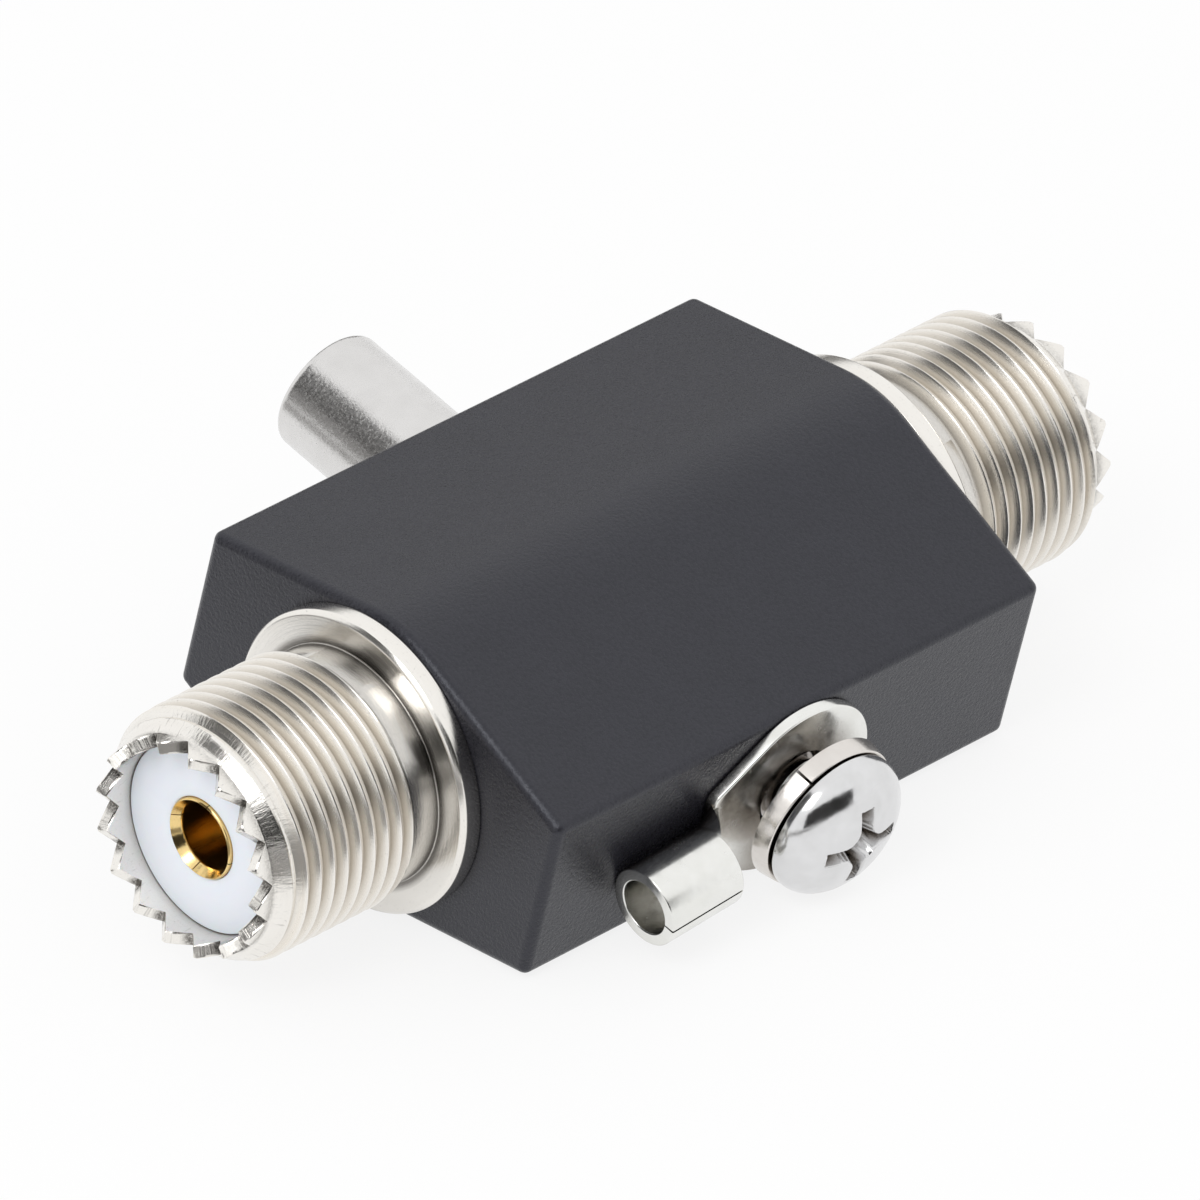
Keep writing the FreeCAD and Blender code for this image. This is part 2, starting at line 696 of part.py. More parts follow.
def flat_outline():
    """The flat neck as ten corners that match the curled ones."""
    shares = (-0.5, -0.25, 0, 0.25, 0.5)
    rows = []
    for level, order in ((LUG_BACK, shares), (LUG_FRONT, shares[::-1])):
        for share in order:
            rows.append((level, f"Sizes.lug_neck_width * {share}" if share else "0"))
    return rows


def make_earth_lug(placement):
    """A ring lug: flat tongue, neck that curls up, and rolled crimp barrel with a butt seam."""
    body = new_body("earth_lug", placement)
    neck_start = "(Sizes.lug_ring_radius - Sizes.lug_neck_overlap)"
    thickness = "Sizes.lug_thickness"
    ring = draw_circle(
        new_sketch(body, "ring_shape", "XZ_Plane", f"-{LUG_FRONT}"), "0", "0", "Sizes.lug_ring_radius",
    )
    extrude(body, "ring", ring, thickness)
    doc.recompute()
    neck_half = "(Sizes.lug_neck_width / 2)"
    neck = draw_outline(new_sketch(body, "neck_shape", "XZ_Plane", f"-{LUG_FRONT}"), [
        ("Sizes.lug_ring_radius / 2", f"-{neck_half}"),
        (neck_start, f"-{neck_half}"),
        (neck_start, neck_half),
        ("Sizes.lug_ring_radius / 2", neck_half),
    ])
    extrude(body, "neck", neck, thickness)
    doc.recompute()
    flat = draw_outline(new_sketch(body, "neck_flat", "YZ_Plane", neck_start), flat_outline())
    curl = draw_outline(
        new_sketch(body, "neck_curl", "YZ_Plane", "Sizes.lug_barrel_start"),
        curled_outline("Sizes.lug_barrel_radius", "Sizes.lug_barrel_bore_radius"),
    )
    bend = add_feature(body, "AdditiveLoft", "curled_neck", flat)
    bend.Sections = [curl]
    bend.Ruled = True
    doc.recompute()
    barrel = new_sketch(body, "barrel_ring", "YZ_Plane", "Sizes.lug_barrel_start")
    draw_circle(barrel, BARREL_AXIS, "0", "Sizes.lug_barrel_radius")
    draw_circle(barrel, BARREL_AXIS, "0", "Sizes.lug_barrel_bore_radius")
    extrude(body, "barrel", barrel, "Sizes.lug_barrel_end - Sizes.lug_barrel_start")
    doc.recompute()
    hole = draw_circle(
        new_sketch(body, "hole_shape", "XZ_Plane", f"-{LUG_FRONT}"), "0", "0", "Sizes.lug_hole_radius",
    )
    extrude(body, "hole", hole, f"2 * {thickness} + {OVERSHOOT}", "Pocket", midplane=True)
    doc.recompute()
    seam_half = "(Sizes.lug_seam_width / 2)"
    seam_top = f"({BARREL_AXIS} + Sizes.lug_barrel_radius + {OVERSHOOT})"
    seam = draw_outline(new_sketch(body, "seam_shape", "YZ_Plane", "Sizes.lug_barrel_start"), [
        (BARREL_AXIS, f"-{seam_half}"),
        (seam_top, f"-{seam_half}"),
        (seam_top, seam_half),
        (BARREL_AXIS, seam_half),
    ])
    extrude(body, "seam", seam, "Sizes.lug_barrel_end - Sizes.lug_barrel_start", "Pocket", reverse=True)
    return body


# The assembly

make_housing()
PORTS = {
    "port_a": (LYING * HALF_TURN, value("Sizes.crown_turn_near")),
    "port_b": (LYING, value("Sizes.crown_turn_far")),
}
for port, (side, crown_turn) in PORTS.items():
    make_port_shell(f"{port}_shell", side * turned_about_x(-crown_turn))
    make_port_insulator(f"{port}_insulator", side)
    make_port_contact(f"{port}_contact", side)
make_centre_conductor()
make_gas_tube()
make_contact_spring()
make_tube_cap()
EARTH_SIDE = LYING * HALF_TURN
make_earth_screw(EARTH_SIDE)
make_lock_washer(EARTH_SIDE)
make_earth_lug(EARTH_SIDE * turned_about_y(value("Sizes.lug_turn")))
doc.recompute()

# Every feature has to be sound and every piece one closed solid before anything is written

for item in doc.Objects:
    if "Invalid" in item.State or "Error" in item.State:
        raise RuntimeError(f"{item.Label} failed: {item.State}")
bodies = [item for item in doc.Objects if item.isDerivedFrom("PartDesign::Body")]
for body in bodies:
    shape = body.Shape
    if shape.isNull() or not shape.isValid() or len(shape.Solids) != 1:
        raise RuntimeError(f"{body.Label} is not one sound solid")

# The origin comes under the middle of the assembly's box

box = FreeCAD.BoundBox()
for body in bodies:
    box.add(body.Shape.optimalBoundingBox(False))
for body in bodies:
    body.Placement.move(Vector(-box.Center.x, -box.Center.y, 0))

os.makedirs("parts", exist_ok=True)
for body in bodies:
    body.Shape.exportStep(f"parts/{body.Label}.step")
    print(f"{body.Label}: {body.Shape.Volume:.2f} mm3")
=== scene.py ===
import json
import math

import bmesh
import bpy
import numpy as np
from mathutils import Matrix, Vector


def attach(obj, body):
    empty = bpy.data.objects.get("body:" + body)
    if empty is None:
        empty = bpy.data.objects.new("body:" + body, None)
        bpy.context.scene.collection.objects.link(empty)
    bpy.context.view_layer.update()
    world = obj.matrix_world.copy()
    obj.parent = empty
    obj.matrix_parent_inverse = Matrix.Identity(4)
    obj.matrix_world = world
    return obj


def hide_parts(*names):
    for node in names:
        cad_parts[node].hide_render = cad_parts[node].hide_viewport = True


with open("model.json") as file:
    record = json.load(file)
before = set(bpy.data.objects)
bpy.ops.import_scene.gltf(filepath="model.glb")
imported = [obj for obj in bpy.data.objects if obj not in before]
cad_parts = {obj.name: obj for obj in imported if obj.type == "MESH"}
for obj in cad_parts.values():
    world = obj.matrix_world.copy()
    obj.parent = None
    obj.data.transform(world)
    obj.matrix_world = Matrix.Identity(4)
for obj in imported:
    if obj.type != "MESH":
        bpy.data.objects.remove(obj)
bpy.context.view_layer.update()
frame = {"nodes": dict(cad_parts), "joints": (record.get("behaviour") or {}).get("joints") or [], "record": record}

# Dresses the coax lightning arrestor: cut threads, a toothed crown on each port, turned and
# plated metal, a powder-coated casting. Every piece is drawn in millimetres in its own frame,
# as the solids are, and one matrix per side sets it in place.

MM = 0.001

# Points closer than this become one
WELD = 0.0001 * MM

# Sizes in millimetres, angles in radians, shares and powers without a unit

# Rows that close a round shape stand at this radius, and nested pieces this far apart
ON_AXIS = 0.001
FIT_GAP = 0.02

# Ports: the shell, drawn along +X from the middle of the block
FACE = 19.55
FLANGE_RADIUS = 9.4
FLANGE_FRONT = 20.95
FLANGE_EDGE = 0.25
NECK_RADIUS = 7.38
SHELL_ROUND = 0.1
THREAD_START = 22.95
THREAD_END = 32.05
THREAD_RADIUS = 7.9375
THREAD_PITCH = 25.4 / 24
THREAD_DEPTH = 0.54 * THREAD_PITCH
CROWN_BASE = 33.45
CROWN_RADIUS = 6.75
CROWN_BORE = 5.95
CROWN_LIP = 0.06
CROWN_FOOT = 0.05
TOOTH_HEIGHT = 1.15
TOOTH_COUNT = 16
NOTCH_HALF_ANGLE = math.radians(46)
CROWN_TURNS = {"port_a": math.radians(6.3), "port_b": math.radians(2.8)}
SPIGOT_END = 14.55
SPIGOT_RADIUS = 7.4
COLLAR_RADIUS = 6.5
COLLAR_END = 20.55

# Ports: the insulator and the slit contact
INSULATOR_FACE = 32.6
INSULATOR_ROUND = 0.12
CONTACT_TIP = 32.8
CONTACT_RADIUS = 2.52
CONTACT_BEVEL_LENGTH = 0.08
CONTACT_BEVEL_DEPTH = 0.12
CONTACT_ROUND = 0.16
CONTACT_BORE = 2.0
CONTACT_MOUTH = 0.42
MOUTH_SLOPE = 1.4
CONTACT_SLIT = 0.07
CONTACT_SLIT_DEPTH = 6.5
CONTACT_BORE_DEPTH = 9.0
DRILL_POINT = 1.0
CONTACT_BACK = 14.59
CONTACT_TAIL_RADIUS = 1.2
CONTACT_TAIL_LENGTH = 3.0
FINGER_COUNT = 4

# Earthing side: the lug, drawn with its back towards the block
LUG_BACK = 14.82
LUG_FRONT = 15.62
LUG_EDGE = 0.14
LUG_RING_RADIUS = 5.85
LUG_HOLE_RADIUS = 2.65
LUG_HOLE_EDGE = 0.06
LUG_SHOULDER_ANGLE = math.radians(61)
LUG_SHOULDER_RUN = 4.2
LUG_SHOULDER_ROUND = 0.5
LUG_NECK_HALF = 2.4
LUG_NECK_START = 0.25
NECK_IN_RING = 0.6
NECK_IN_BARREL = 0.2
NECK_LEAST_BEND = 0.02
NECK_THINNER = 0.02
NECK_CURL = math.radians(92)
BARREL_START = 7.8
BARREL_END = 13.4
BARREL_RADIUS = 2.45
BARREL_BORE = 1.7
BARREL_LIP = 0.1
BARREL_SEAM = 0.12
LUG_TURN = math.radians(5.8)

# Earthing side: the split washer
WASHER_BACK = 17.24
WASHER_THICKNESS = 1.15
WASHER_SPREAD = 0.04
WASHER_LEAN = 0.2
WASHER_LEAN_TURN = math.radians(20)
WASHER_RADIUS = 4.95
WASHER_TAPER = 0.2
WASHER_BORE = 2.6
WASHER_EDGE = 0.09
WASHER_SWEEP = 0.994
WASHER_SPLIT = math.radians(31)

# Earthing side: the screw and its cross recess
HEAD_BASE = 18.71
HEAD_SIDE = 0.35
HEAD_TOP = 21.55
HEAD_RADIUS = 4.65
HEAD_EDGE = 0.12
DOME_FLATNESS = 2.5
DOME_FULLNESS = 0.56
SCREW_TIP = 8.71
SCREW_POINT = 0.5
SHANK_RADIUS = 2.45
SHANK_IN_HEAD = 0.3
SCREW_PITCH = 0.8
SCREW_DEPTH = 0.46
SCREW_RUNOUT = 0.1
RECESS_REACH = 2.7
RECESS_WING = 0.52
RECESS_CORNER = 0.95
RECESS_DEPTH = 2.0
RECESS_WALL_SLOPE = 3.4
RECESS_END_SLOPE = 3.5
RECESS_FLOOR_RISE = 0.55
RECESS_FLOOR_POWER = 1.6

# Points across each shape
SHELL_COLUMNS = 24 * TOOTH_COUNT
CROWN_ROWS = 7
INSULATOR_COLUMNS = 192
CONTACT_COLUMNS = 96
FINGER_COLUMNS = 25
SHANK_COLUMNS = 160
HEAD_COLUMNS = 480
RIM_ROWS = 16
DOME_ROWS = 88
WASHER_STEPS = 144
RING_POINTS = 200
EDGE_STEPS = 4
NECK_STEPS = 16
NECK_COLUMNS = 40
BARREL_COLUMNS = 121

# The block's own frame in the row frame, from the record's mounts and joints

MOUNTS = {mount["name"]: mount for mount in frame["record"]["mounts"]}
JOINTS = {joint["name"]: joint for joint in frame["joints"]}


def frame_of(origin, x_axis, y_axis):
    """A matrix from millimetres along given axes to metres in the row frame."""
    x = Vector(x_axis).normalized()
    y = Vector(y_axis).normalized()
    turn = Matrix((x, y, x.cross(y))).transposed().to_4x4()
    return Matrix.Translation(origin) @ turn @ Matrix.Scale(MM, 4)


def turned(axis, angle):
    return Matrix.Rotation(angle, 4, axis)


ENDS = [Vector(MOUNTS[name]["pos_m"]) for name in ("port_a_thread", "port_b_thread")]
CENTRE = (ENDS[0] + ENDS[1]) / 2
BLOCK = frame_of(CENTRE, MOUNTS["port_b_thread"]["axis"], JOINTS["cap_turn"]["axis"])
HALF_TURN = turned("Z", math.pi)
SIDES = {"port_a": BLOCK @ HALF_TURN, "port_b": BLOCK}
EARTH = BLOCK @ HALF_TURN
LUG = EARTH @ turned("Y", LUG_TURN)

# Mesh helpers


def add_piece(name, points, faces, place, body, slot, node, material, sharp=32):
    """A mesh piece in the row frame that rides on a body and stands for a node.

    Edges that bend by more than sharp degrees are shaded as edges.
    """
    mesh = bpy.data.meshes.new(name)
    mesh.from_pydata([tuple(point) for point in points], [], faces)
    mesh.transform(place)
    weld = bmesh.new()
    weld.from_mesh(mesh)
    bmesh.ops.remove_doubles(weld, verts=weld.verts, dist=WELD)
    bmesh.ops.recalc_face_normals(weld, faces=weld.faces)
    weld.to_mesh(mesh)
    weld.free()
    mesh.shade_smooth()
    mesh.set_sharp_from_angle(angle=math.radians(sharp))
    mesh.materials.append(material)
    piece = bpy.data.objects.new(name, mesh)
    bpy.context.scene.collection.objects.link(piece)
    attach(piece, body)
    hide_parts(node)
    return piece


def joined(*parts):
    """Several (points, faces) pairs as one."""
    points, faces = [], []
    for part_points, part_faces in parts:
        shift = len(points)
        points.extend(part_points)
        faces.extend([tuple(index + shift for index in face) for face in part_faces])
    return points, faces


def skin(rows, close_rows=False, cap=False):
    """Faces over rows of equally many points. Collapsed quads become triangles when welded."""
    rows = [np.asarray(row, dtype=float) for row in rows]
    count = len(rows[0])
    points = np.concatenate(rows)
    faces = []
    last_row = len(rows) if close_rows else len(rows) - 1
    for row in range(last_row):
        low, high = row * count, (row + 1) % len(rows) * count
        for column in range(count - 1):
            beside = column + 1
            faces.append((low + column, low + beside, high + beside, high + column))
    if cap:
        faces.append(tuple(range(count))[::-1])
        faces.append(tuple(range((len(rows) - 1) * count, len(rows) * count)))
    return [tuple(point) for point in points], faces


def slit_skin(rows):
    """A skin over a ring of rows, with a face over each side of the slit that they leave."""
    points, faces = skin(rows, close_rows=True)
    count = len(rows[0])
    faces.append(tuple(row * count for row in range(len(rows))))
    faces.append(tuple(row * count + count - 1 for row in range(len(rows)))[::-1])
    return points, faces


# The most of a straight edge that one rounded corner takes up
EDGE_SHARE = 0.45


def softened(profile, radius, steps=4):
    """An open polyline whose inner corners are rounded by up to a radius."""
    smooth = [profile[0]]
    for before, corner, after in zip(profile, profile[1:], profile[2:]):
        corner = Vector(corner)
        back, forth = Vector(before) - corner, Vector(after) - corner
        reach = min(radius, back.length * EDGE_SHARE, forth.length * EDGE_SHARE)
        start = corner + back.normalized() * reach
        end = corner + forth.normalized() * reach
        for step in range(steps + 1):
            share = step / steps
            first = start.lerp(corner, share)
            second = corner.lerp(end, share)
            smooth.append(tuple(first.lerp(second, share)))
    smooth.append(profile[-1])
    return smooth


def softened_loop(corners, radius, steps):
    """A closed polyline with all corners rounded, from its second corner on."""
    return softened([*corners, *corners[:2]], radius, steps)[1:-1]


def angles(count, start=0.0):
    """Equal steps round a turn, both ends included. Welding closes it."""
    return start + np.linspace(0, 2 * math.pi, count + 1)


def around_x(x, radius, turn):
    """Points at a distance from the X axis. Any of the three may vary along the row."""
    x, radius, turn = np.broadcast_arrays(x, radius, turn)
    return np.stack([x, radius * np.cos(turn), radius * np.sin(turn)], axis=1)


def around_y(y, radius, turn):
    """Points at a distance from the Y axis, turning from Z to X."""
    y, radius, turn = np.broadcast_arrays(y, radius, turn)
    return np.stack([radius * np.sin(turn), y, radius * np.cos(turn)], axis=1)


def arc_over(x, axis, radius, turn):
    """Points round a line along X at a given Y. The arc's middle lies on its -Y side."""
    return np.stack(
        [np.full(len(turn), x), axis - radius * np.cos(turn), radius * np.sin(turn)], axis=1,
    )


# Screw threads. The steps are shares of a pitch, closest together at the crest and in the root.

THREAD_STEPS = (
    0, 0.015, 0.03, 0.05, 0.08, 0.13, 0.25, 0.38, 0.45, 0.48,
    0.5, 0.52, 0.55, 0.62, 0.75, 0.87, 0.92, 0.95, 0.97, 0.985,
)
CREST_ROUND = 0.035
ROOT_HALF = 0.12


def thread_radius(phase, radius, depth):
    """Radius of a V thread with straight flanks, a rounded crest and a flat root."""
    flank = 0.5 - ROOT_HALF
    away = np.minimum(np.abs((phase + 0.5) % 1 - 0.5), flank)
    rounded = np.hypot(away, CREST_ROUND) - CREST_ROUND
    return radius - depth * rounded / (math.hypot(flank, CREST_ROUND) - CREST_ROUND)


def threaded_rows(start, end, radius, depth, pitch, envelope, turn, place):
    """Rows along a right-handed helix, cut off square at both ends and by an envelope.

    turn runs from nothing to a whole turn, both included, so that one lap's end meets the next
    lap's start when the piece is welded.
    """
    rows = []
    first = math.floor((start - pitch) / pitch)
    for lap in range(first, math.ceil(end / pitch) + 1):
        for step in THREAD_STEPS:
            x = (lap + step + turn / (2 * math.pi)) * pitch
            if x.max() <= start or x.min() >= end:
                continue
            inside = np.clip(x, start, end)
            phase = inside / pitch - turn / (2 * math.pi)
            cut = thread_radius(phase, radius, depth)
            rows.append(place(inside, np.minimum(cut, envelope(inside)), turn))
    return rows


# Ports: flange, neck, thread, taper and the crown of notched teeth, then what they hold

# A tooth's wall stands upright over this share of its height and rounds over above it
TOOTH_WALL = 0.93


def crown_height(radius, turn, crown_turn):
    """Height of the crown's top over its base, with a V notch at each tooth gap."""
    gap = 2 * math.pi / TOOTH_COUNT
    local = (turn - math.pi / 2 + crown_turn + gap / 2) % gap - gap / 2
    across = np.abs(radius * np.sin(local))
    return np.minimum(across / math.tan(NOTCH_HALF_ANGLE), TOOTH_HEIGHT)


def port_envelope(x):
    """Largest radius of the shell between the neck and the crown."""
    rise = NECK_RADIUS + (x - THREAD_START)
    run = CROWN_BASE - THREAD_END
    taper = THREAD_RADIUS - (x - THREAD_END) * (THREAD_RADIUS - CROWN_RADIUS) / run
    return np.minimum(np.minimum(rise, THREAD_RADIUS), taper)


def port_shell(crown_turn):
    """The whole shell as one skin, out over the thread and the crown and back down the bore."""
    turn = angles(SHELL_COLUMNS, math.pi / 2 - crown_turn)
    rear = softened([
        (COLLAR_END, COLLAR_RADIUS + FIT_GAP),
        (SPIGOT_END, COLLAR_RADIUS + FIT_GAP),
        (SPIGOT_END, SPIGOT_RADIUS),
        (FACE, SPIGOT_RADIUS),
        (FACE, FLANGE_RADIUS),
        (FLANGE_FRONT - FLANGE_EDGE, FLANGE_RADIUS),
        (FLANGE_FRONT, FLANGE_RADIUS - FLANGE_EDGE),
        (FLANGE_FRONT, NECK_RADIUS),
        (THREAD_START, NECK_RADIUS),
    ], SHELL_ROUND)
    rows = [around_x(x, radius, turn) for x, radius in rear]
    rows += threaded_rows(
        THREAD_START, CROWN_BASE, THREAD_RADIUS, THREAD_DEPTH, THREAD_PITCH, port_envelope,
        turn, around_x,
    )
    outer = crown_height(CROWN_RADIUS, turn, crown_turn)
    for height in (np.minimum(CROWN_FOOT, outer * 0.2), outer * 0.5, outer * TOOTH_WALL):
        rows.append(around_x(CROWN_BASE + height, CROWN_RADIUS, turn))
    for radius in np.linspace(CROWN_RADIUS - CROWN_LIP, CROWN_BORE + CROWN_LIP, CROWN_ROWS):
        height = crown_height(radius, turn, crown_turn)
        rows.append(around_x(CROWN_BASE + height, radius, turn))
    inner = crown_height(CROWN_BORE, turn, crown_turn)
    for share in (TOOTH_WALL, 0.4, 0):
        rows.append(around_x(CROWN_BASE + inner * share, CROWN_BORE, turn))
    beside = 0.3
    for x in (INSULATOR_FACE + beside, INSULATOR_FACE - beside, COLLAR_END):
        rows.append(around_x(x, CROWN_BORE, turn))
    return skin(rows, close_rows=True)


def port_insulator():
    """A disc in the crown, on a sleeve that reaches back into the block."""
    turn = angles(INSULATOR_COLUMNS)
    bore = CONTACT_RADIUS + FIT_GAP
    profile = softened([
        (COLLAR_END, bore), (SPIGOT_END, bore), (SPIGOT_END, COLLAR_RADIUS),
        (COLLAR_END - FIT_GAP, COLLAR_RADIUS), (COLLAR_END - FIT_GAP, CROWN_BORE - FIT_GAP),
        (INSULATOR_FACE, CROWN_BORE - FIT_GAP), (INSULATOR_FACE, bore), (COLLAR_END, bore),
    ], INSULATOR_ROUND)[:-1]
    return skin([around_x(x, radius, turn) for x, radius in profile], close_rows=True)


def contact_finger(number):
    """One of the springy fingers between the slits of a contact."""
    sweep = 2 * math.pi / FINGER_COUNT
    back = CONTACT_TIP - CONTACT_SLIT_DEPTH
    profile = softened([
        (back, CONTACT_RADIUS), (CONTACT_TIP - CONTACT_BEVEL_LENGTH, CONTACT_RADIUS),
        (CONTACT_TIP, CONTACT_RADIUS - CONTACT_BEVEL_DEPTH),
        (CONTACT_TIP, CONTACT_BORE + CONTACT_MOUTH),
        (CONTACT_TIP - MOUTH_SLOPE * CONTACT_MOUTH, CONTACT_BORE), (back, CONTACT_BORE),
    ], CONTACT_ROUND, 5)
    rows = []
    for x, radius in profile:
        edge = math.asin(CONTACT_SLIT / 2 / radius)
        turn = number * sweep + np.linspace(edge, sweep - edge, FINGER_COLUMNS)
        rows.append(around_x(x, radius, turn))
    return slit_skin(rows)


def port_contact():
    """A gold socket: a plain drilled base with a tail, and its fingers."""
    turn = angles(CONTACT_COLUMNS)
    floor = CONTACT_TIP - CONTACT_BORE_DEPTH
    slit_end = CONTACT_TIP - CONTACT_SLIT_DEPTH
    tail = CONTACT_BACK - CONTACT_TAIL_LENGTH
    profile = [
        (tail, ON_AXIS), (tail, CONTACT_TAIL_RADIUS), (CONTACT_BACK, CONTACT_TAIL_RADIUS),
        (CONTACT_BACK, CONTACT_RADIUS), (slit_end, CONTACT_RADIUS), (slit_end, CONTACT_BORE),
        (floor, CONTACT_BORE), (floor - DRILL_POINT, ON_AXIS),
    ]
    base = skin([around_x(x, radius, turn) for x, radius in profile])
    return joined(base, *[contact_finger(number) for number in range(FINGER_COUNT)])


# Earthing side, drawn along +Y


def recess_depth(across, along):
    """Depth of the cross recess under the crown of the screw's head."""
    far = np.maximum(np.abs(across), np.abs(along))
    reach = RECESS_WING + RECESS_CORNER
    one, two = reach - np.abs(across), reach - np.abs(along)
    corner = np.hypot(np.maximum(one, 0), np.maximum(two, 0))
    inside = np.where(np.minimum(one, two) > 0, corner, np.maximum(one, two)) - RECESS_CORNER
    rise = RECESS_FLOOR_RISE * np.clip(far / RECESS_REACH, 0, 1) ** RECESS_FLOOR_POWER
    floor = RECESS_DEPTH * (1 - rise)
    end = (RECESS_REACH - far) * RECESS_END_SLOPE
    depth = np.minimum(np.minimum(inside * RECESS_WALL_SLOPE, floor), end)
    return np.clip(depth, 0, RECESS_DEPTH)


def head_height(radius):
    """Height of the domed head over its base, above a narrow upright rim."""
    rise = HEAD_TOP - HEAD_BASE - HEAD_SIDE
    share = np.clip(radius / HEAD_RADIUS, 0, 1)
    return HEAD_SIDE + rise * (1 - share ** DOME_FLATNESS) ** DOME_FULLNESS


def screw_envelope(y):
    """Largest radius of the shank, with a bevel at its tip."""
    return np.minimum(SHANK_RADIUS, SHANK_RADIUS - SCREW_POINT + (y - SCREW_TIP))


def earth_screw():
    """A threaded shank, and on a finer grid the domed head with its cross recess."""
    turn = angles(SHANK_COLUMNS)
    shank = [around_y(SCREW_TIP, ON_AXIS, turn)]
    shank += threaded_rows(
        SCREW_TIP, HEAD_BASE - SCREW_RUNOUT, SHANK_RADIUS, SCREW_DEPTH, SCREW_PITCH,
        screw_envelope, turn, around_y,
    )
    shank.append(around_y(HEAD_BASE, SHANK_RADIUS, turn))
    for radius in (SHANK_RADIUS, ON_AXIS):
        shank.append(around_y(HEAD_BASE + SHANK_IN_HEAD, radius, turn))

    turn = angles(HEAD_COLUMNS)
    under = softened([
        (HEAD_BASE, ON_AXIS), (HEAD_BASE, HEAD_RADIUS), (HEAD_BASE + HEAD_SIDE, HEAD_RADIUS),
    ], HEAD_EDGE)
    head = [around_y(y, radius, turn) for y, radius in under]
    # The rows crowd together at the rim, where the dome falls away most steeply
    rim = HEAD_RADIUS * (1 - np.linspace(0.005, 0.3, RIM_ROWS) ** 2.4 * 3)
    inner = np.linspace(rim[-1], ON_AXIS, DOME_ROWS)[1:]
    for radius in np.concatenate([rim, inner]):
        depth = recess_depth(radius * np.sin(turn), radius * np.cos(turn))
        head.append(around_y(HEAD_BASE + head_height(radius) - depth, radius, turn))
    return joined(skin(shank), skin(head))


def lock_washer():
    """A square-wire ring of just under one turn, its ends offset. It leans on the head."""
    section = softened_loop([
        (WASHER_BORE, 0), (WASHER_RADIUS, 0), (WASHER_RADIUS - WASHER_TAPER, WASHER_THICKNESS),
        (WASHER_BORE, WASHER_THICKNESS),
    ], WASHER_EDGE, 3)
    radius, height = np.array(section + section[:1]).T
    rows = []
    for step in range(WASHER_STEPS + 1):
        share = step / WASHER_STEPS
        turn = WASHER_SPLIT - share * WASHER_SWEEP * 2 * math.pi
        lean = WASHER_LEAN * (1 + math.cos(turn + WASHER_LEAN_TURN)) / 2
        lift = WASHER_SPREAD * share
        rows.append(around_y(height + WASHER_BACK + lift + lean, radius, turn))
    return skin(rows, cap=True)


def ring_outline():
    """Outer edge of the lug's ring, drawn out along its tangents to two rounded shoulders."""
    sine, cosine = math.sin(LUG_SHOULDER_ANGLE), math.cos(LUG_SHOULDER_ANGLE)
    leave = (LUG_RING_RADIUS * cosine, LUG_RING_RADIUS * sine)
    corner = (leave[0] + LUG_SHOULDER_RUN * sine, leave[1] - LUG_SHOULDER_RUN * cosine)
    neck_x = corner[0] + LUG_NECK_START
    shoulder = softened(
        [(neck_x, 0), (neck_x, LUG_NECK_HALF), corner, leave], LUG_SHOULDER_ROUND, 5,
    )[:-1]
    turns = np.linspace(LUG_SHOULDER_ANGLE, 2 * math.pi - LUG_SHOULDER_ANGLE,
                        RING_POINTS - 2 * len(shoulder) + 1)
    outer = [(LUG_RING_RADIUS * math.cos(turn), LUG_RING_RADIUS * math.sin(turn)) for turn in turns]
    mirrored = [(x, -z) for x, z in reversed(shoulder)]
    return shoulder + outer + mirrored, neck_x


def lug_ring():
    """Flat ring with a hole and softly rounded stamped edges, and where it ends along X."""
    outline, neck_x = ring_outline()
    outer = np.array(outline + outline[:1])
    direction = outer / np.linalg.norm(outer, axis=1)[:, None]
    hole = direction * LUG_HOLE_RADIUS

    def row(flat, y):
        return np.stack([flat[:, 0], np.full(len(flat), y), flat[:, 1]], axis=1)

    rows = []
    bends = [step / EDGE_STEPS * math.pi / 2 for step in range(EDGE_STEPS + 1)]
    for face, inward, order in ((LUG_BACK, 1, bends), (LUG_FRONT, -1, bends[::-1])):
        for bend in order:
            inset = direction * LUG_EDGE * (1 - math.sin(bend))
            rows.append(row(outer - inset, face + inward * LUG_EDGE * (1 - math.cos(bend))))
    for share in (0.3, 0.6):
        rows.append(row(outer * (1 - share) + hole * share, LUG_FRONT))
    rows.append(row(hole + direction * LUG_HOLE_EDGE, LUG_FRONT))
    rows.append(row(hole, LUG_FRONT - LUG_HOLE_EDGE))
    rows.append(row(hole, LUG_BACK))
    return skin(rows, close_rows=True), neck_x


BARREL_MEAN = (BARREL_RADIUS + BARREL_BORE) / 2
BARREL_HALF = (BARREL_RADIUS - BARREL_BORE) / 2


def lug_neck(ring_end):
    """The sheet between ring and barrel, curled up from flat to half round."""
    middle = (LUG_BACK + LUG_FRONT) / 2
    half = BARREL_HALF - NECK_THINNER
    start = ring_end - NECK_IN_RING
    rows = []
    for step in range(NECK_STEPS + 1):
        share = step / NECK_STEPS
        eased = share * share * (3 - 2 * share)
        bend = NECK_LEAST_BEND + eased * NECK_CURL
        width = LUG_NECK_HALF + eased * (BARREL_MEAN * NECK_CURL - LUG_NECK_HALF)
        x = start + share * (BARREL_START + NECK_IN_BARREL - start)
        radius = width / bend
        turn = np.linspace(-bend, bend, NECK_COLUMNS)
        outer = arc_over(x, middle + radius, radius + half, turn)
        inner = arc_over(x, middle + radius, radius - half, turn)
        rows.append(np.concatenate([outer, inner[::-1], outer[:1]]))
    return skin(rows, cap=True)


